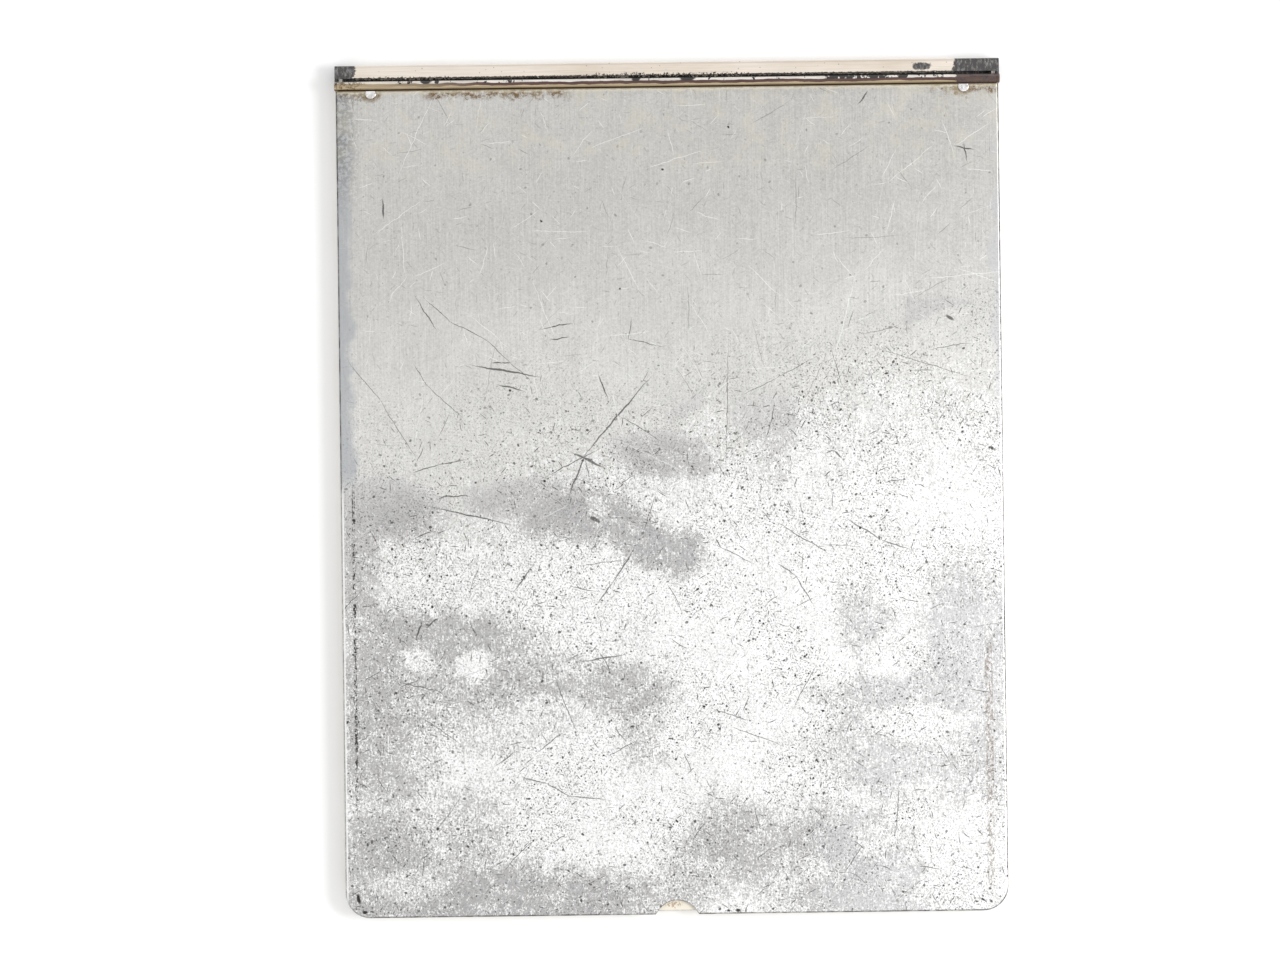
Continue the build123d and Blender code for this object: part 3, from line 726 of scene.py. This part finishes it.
def bead_colour(g, past, blotch):
    """The bead from its back to its foot: a painted highlight on bare metal, tarnish with painted dark
    reflection, a tan band of painted reflection of the cover, then a crease of painted shade with grime.
    """
    swing = g.times(g.minus(g.lumps(9, detail=4, seed=38), 0.5), 1.4)
    level = g.plus(past, swing)
    # Painted highlight on the bead's upper side; below it, tarnish with painted dark reflection.
    bead = g.tint(g.rise(level, 0.55, 0.35), BEAD_HIGHLIGHT, TARNISH_AND_DARK_REFLECTION)
    yellowed = g.rise(g.x, -60, -105)
    bead = g.tint(g.times(yellowed, g.rise(level, 0.55, 0.35, 0.25, 0.7)), bead, BEAD_TAN)
    # A tan band of painted reflection of the cover on the bead's lower side.
    bead = g.tint(g.rise(level, -0.55, -0.7), bead, BEAD_TAN)
    streaky = g.rise(g.lumps(0.6, detail=3, seed=39, stretch=(20.0, 1.0, 1.0)), 0.3, 0.7, 0.8, 1.1)
    bead = g.tint(1.0, bead, g.grey(streaky), "MULTIPLY")
    # Painted contact shade with grime at the bead's foot.
    bead = g.tint(g.rise(past, -1.3, -1.45), bead, CREASE_SHADE_AND_GRIME)
    far_left = g.rise(g.x, -106, -116)
    return g.tint(g.times(g.times(blotch, far_left), 0.8), bead, CREASE_SHADE_AND_GRIME)


def groove_lacquer(g, chips):
    """Lacquer in the groove between band and bead, with jagged chips above it in two places."""
    jagged = g.most(g.within(g.x, -28, 28, 6), g.times(g.within(g.x, -106, -80, 5), 0.45))
    rim = g.plus(g.times(g.minus(chips, 0.5), g.rise(jagged, 0, 1, 1.3, 6.0)), BAND_Y + 0.2)
    return g.times(g.rise(g.minus(rim, g.y), -0.08, 0.08), g.rise(g.y, BEAD_HIGH.y - 0.3, BEAD_HIGH.y))


def bead_lacquer(g, past):
    """Tongues of lacquer down the bead's bright side, crowded near the right end."""
    torn = g.lumps(2.4, detail=4, rough=0.65, seed=37, stretch=(1.0, 2.5, 2.5))
    crowded = g.times(g.within(g.x, 60, 99, 5), 0.14)
    tongue = g.rise(g.plus(torn, crowded), 0.6, 0.62)
    for centre, reach in TONGUES:
        spot = g.spot((centre, HINGE_Y + 1.2), (reach, 1.0), 0, 0.2, g.warped(1.2, 1.2, seed=41))
        tongue = g.most(tongue, spot)
    return g.times(tongue, g.within(past, 0.35, BEAD_RADIUS + 0.2, 0.15))


# ---- the tray: cream enamel, chipped to bare metal ----

ENAMEL_PALE = (0.84, 0.80, 0.715)
ENAMEL_AGED = (0.77, 0.715, 0.60)
STAIN = (0.62, 0.5, 0.32)
BROWN_SPECK = (0.22, 0.12, 0.06)
SCUFF = (0.5, 0.47, 0.42)
CHIP_RUST = (0.3, 0.15, 0.06)
CHIP_STEEL = (0.12, 0.10, 0.09)
LIP_DASHES = (0.2, 0.165, 0.13)
NOTCH_RUST = (0.32, 0.19, 0.09)


def cream_enamel():
    """Aged cream enamel: faint yellowing, brown specks, chips on the rims and a rubbed underside."""
    g = Graph("cream_enamel")
    age = g.lumps(35, detail=5, seed=41)
    base = g.tint(g.rise(age, 0.3, 0.7), ENAMEL_PALE, ENAMEL_AGED)
    stain = g.rise(g.lumps(14, detail=6, rough=0.65, seed=42), 0.58, 0.75)
    base = g.tint(g.times(stain, 0.3), base, STAIN)
    specks = g.most(g.strokes(3.3, 0.6, 0.5, 0.3, 43), g.strokes(8, 1.0, 0.8, 0.4, 44))
    base = g.tint(g.times(specks, 0.7), base, BROWN_SPECK)
    scuffs = g.most(
        g.strokes(16, 11, 0.35, 0.5, 45, bend=2.0),
        g.strokes(7, 4, 0.3, 0.5, 46),
    )
    under = g.rise(g.up, -0.3, -0.8)
    base = g.tint(g.times(scuffs, g.rise(under, 0, 1, 0.25, 0.6)), base, SCUFF)

    # Enamel breaks away on the outer corners and at the underside's edges.
    side = g.math("ABSOLUTE", g.x)
    near_side = g.rise(side, HALF_WIDTH - 4.0, HALF_WIDTH - 1.4)
    near_front = g.rise(g.y, FRONT + 5.0, FRONT + 1.6)
    near_edge = g.times(g.most(near_side, near_front), g.rise(g.z, 2.4, 0.2))
    break_up = g.lumps(3.2, detail=5, rough=0.7, seed=47)
    break_up = g.plus(break_up, g.times(near_edge, 0.16))
    chip = g.rise(break_up, 0.66, 0.69)
    base = g.tint(g.times(g.rise(break_up, 0.62, 0.67), 0.7), base, CHIP_RUST)
    base = g.tint(chip, base, CHIP_STEEL)

    # Darker dashes on the rolled lips' sloping faces, and rust where the thumb notch leaves the lip bare.
    lip = g.times(g.within(g.up, 0.15, 0.75, 0.15), g.rise(g.z, 3.0, 5.0))
    dashes = g.rise(g.lumps(1.6, detail=4, rough=0.7, seed=49), 0.44, 0.54)
    base = g.tint(g.times(lip, g.rise(dashes, 0, 1, 0.25, 0.8)), base, LIP_DASHES)
    rusty = g.spot((-1.6, FRONT + 3.8), (3.4, 1.1), 0, 0.4, g.warped(1.2, 1.0, seed=50))
    rusty = g.times(rusty, g.rise(g.lumps(0.7, detail=3, rough=0.7, seed=56), 0.48, 0.56))
    base = g.tint(g.times(rusty, 0.75), base, NOTCH_RUST)
    rough = g.plus(g.rise(age, 0.3, 0.7, 0.26, 0.4), g.times(g.most(chip, scuffs), 0.3))
    g.bump(g.plus(g.invert(chip), g.times(g.lumps(2.5, detail=2, seed=48), 0.2)), 0.5, 0.15)
    return g.finish(base, rough, 0.0)


# ---- clip, springs and rivets ----

PLATE_DULL = (0.6, 0.59, 0.575)
PLATE_BRIGHT = (0.74, 0.735, 0.72)
PLATE_SPOT = (0.24, 0.14, 0.075)
PLATE_CUT = (0.28, 0.27, 0.26)
WIRE_DARK = (0.10, 0.10, 0.115)
WIRE_RUBBED = (0.27, 0.26, 0.26)
WIRE_RUST = (0.23, 0.11, 0.05)
RIVET_GREY = (0.72, 0.71, 0.7)
RIVET_BRIGHT = (0.95, 0.95, 0.94)
RIVET_DULL = (0.42, 0.39, 0.38)
RIVET_SHADE_AND_DIRT = (0.2, 0.14, 0.08)
RIVET_NICK = (0.25, 0.22, 0.19)


def plated_steel():
    """Dulled nickel plate: drawn lines, finger haze and brown spots starting at the edges."""
    g = Graph("plated_steel")
    lines = g.lumps(0.45, detail=3, seed=51, stretch=(50.0, 1.0, 1.0))
    haze = g.lumps(11, detail=5, seed=52)
    base = g.tint(g.rise(haze, 0.3, 0.7), PLATE_DULL, PLATE_BRIGHT)
    base = g.tint(1.0, base, g.grey(g.rise(lines, 0.3, 0.7, 0.9, 1.06)), "MULTIPLY")
    spots = g.rise(g.lumps(2.4, detail=5, rough=0.7, seed=53), 0.64, 0.72)
    base = g.tint(g.times(spots, 0.7), base, PLATE_SPOT)
    cuts = g.most(g.strokes(9, 6, 0.25, 0.5, 54, bend=1.0), g.strokes(3, 1.6, 0.2, 0.4, 55))
    base = g.tint(g.times(cuts, 0.5), base, PLATE_CUT)
    rough = g.plus(g.rise(haze, 0.3, 0.7, 0.24, 0.42), g.times(spots, 0.3))
    g.bump(g.minus(g.times(lines, 0.3), g.plus(cuts, spots)), 0.4)
    return g.finish(base, rough)


def spring_wire():
    """Dark oil-tempered wire with drawing lines and rubbed high spots."""
    g = Graph("spring_wire")
    cloud = g.lumps(2.2, detail=4, seed=61)
    base = g.tint(g.rise(cloud, 0.35, 0.65), WIRE_DARK, WIRE_RUBBED)
    rust = g.rise(g.lumps(1.2, detail=4, seed=62), 0.62, 0.7)
    base = g.tint(g.times(rust, 0.6), base, WIRE_RUST)
    g.bump(g.lumps(0.25, detail=2, seed=63, stretch=(8.0, 1.0, 1.0)), 0.3, 0.03)
    return g.finish(base, g.rise(cloud, 0.3, 0.7, 0.45, 0.28))


def rivet_metal():
    """Soft bright metal, dented by the rivet set, with painted shade and brown dirt on the head's steep
    sides.
    """
    g = Graph("rivet_aluminium")
    cloud = g.lumps(0.9, detail=4, seed=71)
    base = g.tint(g.rise(cloud, 0.3, 0.7), RIVET_GREY, RIVET_BRIGHT)
    dull = g.rise(g.lumps(1.6, detail=4, rough=0.7, seed=73), 0.46, 0.56)
    base = g.tint(g.times(dull, 0.5), base, RIVET_DULL)
    # Painted shade with brown dirt where the head turns down to its foot.
    foot = g.rise(g.up, 0.9, 0.5)
    base = g.tint(g.times(foot, 0.75), base, RIVET_SHADE_AND_DIRT)
    nicks = g.strokes(0.9, 0.6, 0.16, 0.5, 72)
    base = g.tint(g.times(nicks, 0.5), base, RIVET_NICK)
    g.bump(g.minus(cloud, g.times(nicks, 0.6)), 0.5, 0.08)
    return g.finish(base, g.rise(cloud, 0.3, 0.7, 0.22, 0.36))


def dress_nodes():
    """Gives every CAD node its material, by how its name starts. The longer starts come first."""
    lacquered = lacquered_metal()
    rivets = rivet_metal()
    chosen = {
        "cover_plate": cover_metal(),
        "spine_channel": lacquered,
        "spine_rivet": lacquered,
        "hinge": lacquered,
        "back_tray": cream_enamel(),
        "clip_spring": spring_wire(),
        "clip_rivet": rivets,
        "cover_rivet": rivets,
        "ear_rivet": rivets,
        "clip": plated_steel(),
    }
    for name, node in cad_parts.items():
        start = next(key for key in chosen if name.startswith(key))
        node.data.materials.clear()
        node.data.materials.append(chosen[start])


# ---- stage, light and camera ----

FLOOR_SIZE = 6.0
FLOOR_LAP = 0.0025  # how far the floor reaches under the tray
FLOOR_Z = -0.00003  # just clear of the tray's underside
VIEW_TURN = 0.73  # degrees that the object lies turned in the view
VIEW_HEIGHT = 1.2  # camera above the cover's face
VIEW_WIDTH = 0.462  # width of the view at the cover's face
SENSOR = 36.0
VIEW_SHIFT = (-0.0115, 0.0043)  # from the object's middle to the view's middle
LIGHT_PLACE = (1.0, -0.05, 1.0)
LIGHT_SIZE = 0.5
LIGHT_POWER = 9.0
HORIZON_GLOW = 0.72  # strength of the white surroundings at the horizon, where straight up is 1


def make_floor():
    """A plain white floor, slightly uneven in tone. It has an unseen opening under the tray, so that the
    tray's underside has light on it in a view from below."""
    g = Graph("floor_white")
    tone = g.rise(g.lumps(400, detail=2, seed=81), 0.3, 0.7, 0.93, 0.97)
    g.finish(g.grey(tone), 0.75, 0.0)
    g.shader.inputs["Specular IOR Level"].default_value = 0.2
    low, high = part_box("back_tray")
    half = FLOOR_SIZE / 2
    corners = []
    for x0, y0, x1, y1 in (
        (-half, -half, half, half),
        (low.x + FLOOR_LAP, low.y + FLOOR_LAP, high.x - FLOOR_LAP, high.y - FLOOR_LAP),
    ):
        corners += [(x0, y0, FLOOR_Z), (x1, y0, FLOOR_Z), (x1, y1, FLOOR_Z), (x0, y1, FLOOR_Z)]
    faces = [(i, (i + 1) % 4, 4 + (i + 1) % 4, 4 + i) for i in range(4)]
    mesh = bpy.data.meshes.new("floor")
    mesh.from_pydata(corners, [], faces)
    mesh.materials.append(g.material)
    floor = bpy.data.objects.new("floor", mesh)
    bpy.context.scene.collection.objects.link(floor)


def make_world():
    """Soft white surroundings, a little darker near the horizon."""
    world = bpy.data.worlds.new("studio")
    bpy.context.scene.world = world
    world.use_nodes = True
    tree = world.node_tree
    background = tree.nodes["Background"]
    background.inputs["Color"].default_value = (1.0, 1.0, 1.0, 1.0)
    coords = tree.nodes.new("ShaderNodeTexCoord")
    split = tree.nodes.new("ShaderNodeSeparateXYZ")
    ramp = tree.nodes.new("ShaderNodeMapRange")
    tree.links.new(coords.outputs["Generated"], split.inputs[0])
    tree.links.new(split.outputs["Z"], ramp.inputs["Value"])
    ramp.inputs["From Min"].default_value = 0.0
    ramp.inputs["From Max"].default_value = 0.8
    ramp.inputs["To Min"].default_value = HORIZON_GLOW
    ramp.inputs["To Max"].default_value = 1.0
    tree.links.new(ramp.outputs["Result"], background.inputs["Strength"])


def make_light():
    """A soft square light from the right, aimed at the object's middle."""
    data = bpy.data.lights.new("key", "AREA")
    data.size = LIGHT_SIZE
    data.energy = LIGHT_POWER
    light = bpy.data.objects.new("key", data)
    light.location = LIGHT_PLACE
    light.rotation_euler = (-Vector(LIGHT_PLACE)).to_track_quat("-Z", "Y").to_euler()
    bpy.context.scene.collection.objects.link(light)


def make_camera():
    """Looks straight down on the cover."""
    data = bpy.data.cameras.new("camera")
    data.sensor_width = SENSOR
    data.lens = SENSOR * VIEW_HEIGHT / VIEW_WIDTH
    camera = bpy.data.objects.new("camera", data)
    camera.location = (VIEW_SHIFT[0], VIEW_SHIFT[1], COVER_HIGH.z * MM + VIEW_HEIGHT)
    camera.rotation_euler = (0.0, 0.0, math.radians(-VIEW_TURN))
    bpy.context.scene.collection.objects.link(camera)
    bpy.context.scene.camera = camera


dress_nodes()
make_floor()
make_world()
make_light()
make_camera()
bpy.context.scene.view_settings.view_transform = "Standard"
